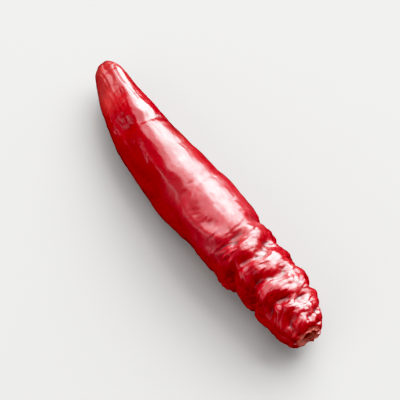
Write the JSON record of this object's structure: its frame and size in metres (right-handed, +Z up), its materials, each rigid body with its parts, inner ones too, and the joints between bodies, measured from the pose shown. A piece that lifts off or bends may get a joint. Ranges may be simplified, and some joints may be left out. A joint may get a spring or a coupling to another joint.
{
  "type": "dried chili pepper",
  "caption": "Whole dried red chili pepper pod without its stem: slim, tapering to the tip, with glossy skin gathered in cross folds towards the blunt stem end.",
  "frame": {"origin": "middle of the pod's outer box in plan, on the surface that the pod lies on", "axes": "+Z up; X along the pod's length, with the stem end at -X and the tip at +X"},
  "size_m": [0.05, 0.0112, 0.0091],
  "materials": {
    "dried_skin": "glossy dried chili skin, deep crimson, with pale edges at the stem scar and a darker tip"
  },
  "bodies": {
    "root": {"pod": "dried_skin"}
  },
  "joints": []
}
